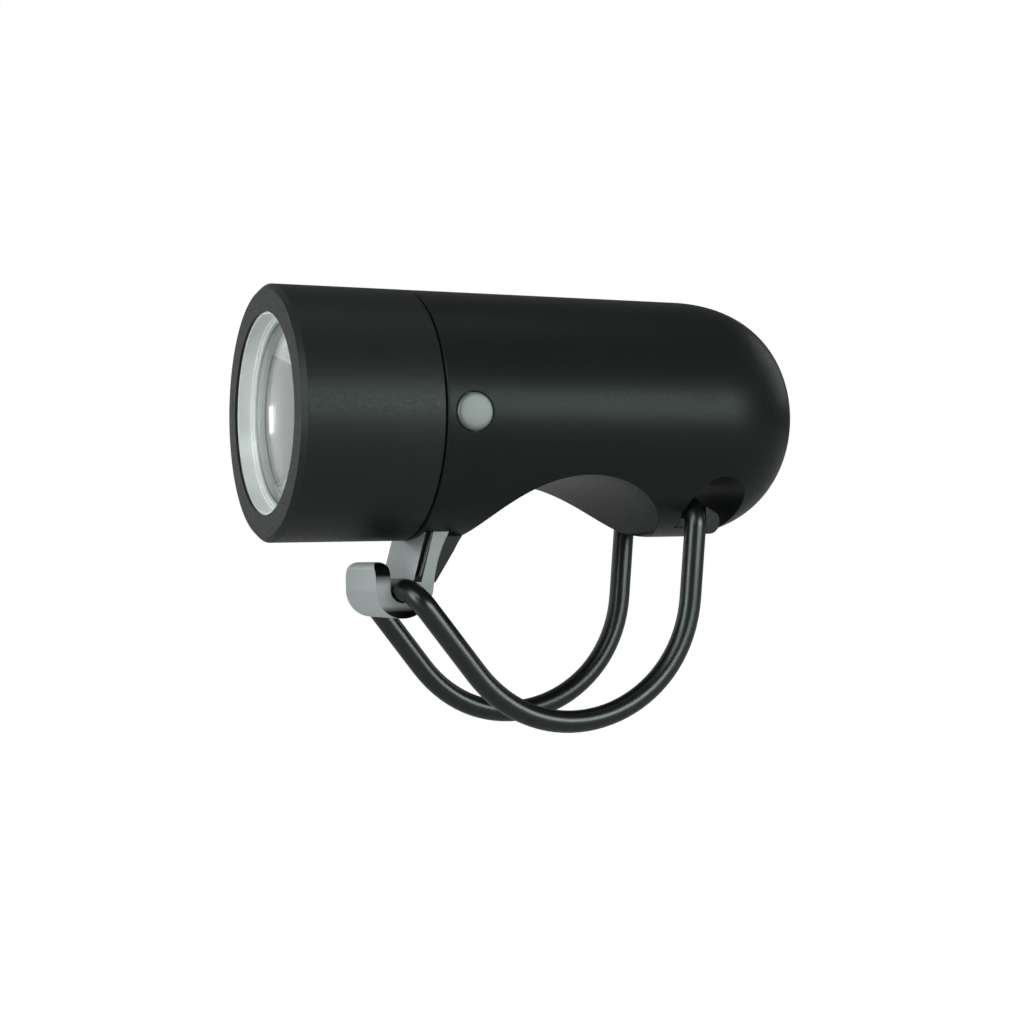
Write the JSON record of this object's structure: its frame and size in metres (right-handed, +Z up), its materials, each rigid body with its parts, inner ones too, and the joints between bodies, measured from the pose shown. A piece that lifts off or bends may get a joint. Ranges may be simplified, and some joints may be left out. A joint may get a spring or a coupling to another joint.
{
  "type": "bike headlight",
  "caption": "Round bicycle headlight with a domed rear, a saddle and rubber strap loop for the handlebar, a side button and a slide-out lamp module.",
  "frame": {"origin": "middle of the handlebar's axis, in the round saddle under the body", "axes": "-Y is where the beam goes, +X runs along the bar to the side with the button, +Z up"},
  "size_m": [0.0334, 0.0756, 0.0586],
  "materials": {
    "body_black": "fine matt moulded black",
    "collar_black": "satin black, turned",
    "ring_grey": "matt light grey",
    "clear_lens": "clear, polished",
    "seal_rubber": "matt black rubber",
    "reflector_white": "satin metallised white",
    "led_yellow": "clear dome on a yellow chip",
    "board_green": "solder mask",
    "bare_aluminium": "turned, bare",
    "screw_steel": "zinc-plated",
    "lead_rubber": "smooth insulation",
    "carrier_black": "matt moulded black",
    "cell_sleeve": "shrunk sleeve",
    "contact_brass": "gold-plated",
    "switch_black": "moulded",
    "plug_steel": "nickel-plated",
    "tongue_white": "moulded",
    "button_grey": "satin grey",
    "spring_rubber": "soft rubber",
    "hook_grey": "satin light grey",
    "strap_rubber": "smooth black rubber"
  },
  "bodies": {
    "housing": {"body_shell": "body_black", "hook": "hook_grey", "hook_pins": "screw_steel", "button_retainer": "carrier_black"},
    "lamp_module": {"head_collar": "collar_black", "lens_ring": "ring_grey", "front_lens": "clear_lens", "lens_gasket": "seal_rubber", "reflector": "reflector_white", "led_emitter": "led_yellow", "led_board": "board_green", "heat_puck": "bare_aluminium", "head_screws": "screw_steel", "led_leads": "lead_rubber", "seam_seal": "seal_rubber", "carrier": "carrier_black", "battery_cell": "cell_sleeve", "cell_contacts": "contact_brass", "tactile_switch": "switch_black", "driver_board": "board_green", "driver_chips": "switch_black", "end_cap": "carrier_black", "usb_plug_shell": "plug_steel", "usb_plug_tongue": "tongue_white", "usb_plug_contacts": "contact_brass"},
    "button": {"button_cap": "button_grey", "button_spring": "spring_rubber"},
    "strap_loop": {"strap": "strap_rubber"}
  },
  "joints": [
    {"name": "module_pull", "type": "slide", "parent": "housing", "child": "lamp_module", "axis": [0, -1, 0], "range_m": [0, 0.054]},
    {"name": "button_press", "type": "slide", "parent": "housing", "child": "button", "axis": [-1, 0, 0], "range_m": [0, 0.0005], "stiffness_N_per_m": 1500, "springref_m": -0.0005, "deforming": ["button_spring"]},
    {"name": "strap_swing", "type": "hinge", "parent": "housing", "child": "strap_loop", "pos_m": [0, 0.01783, 0.0138], "axis": [1, 0, 0], "range_deg": [0, 70], "deforming": ["strap"]}
  ]
}
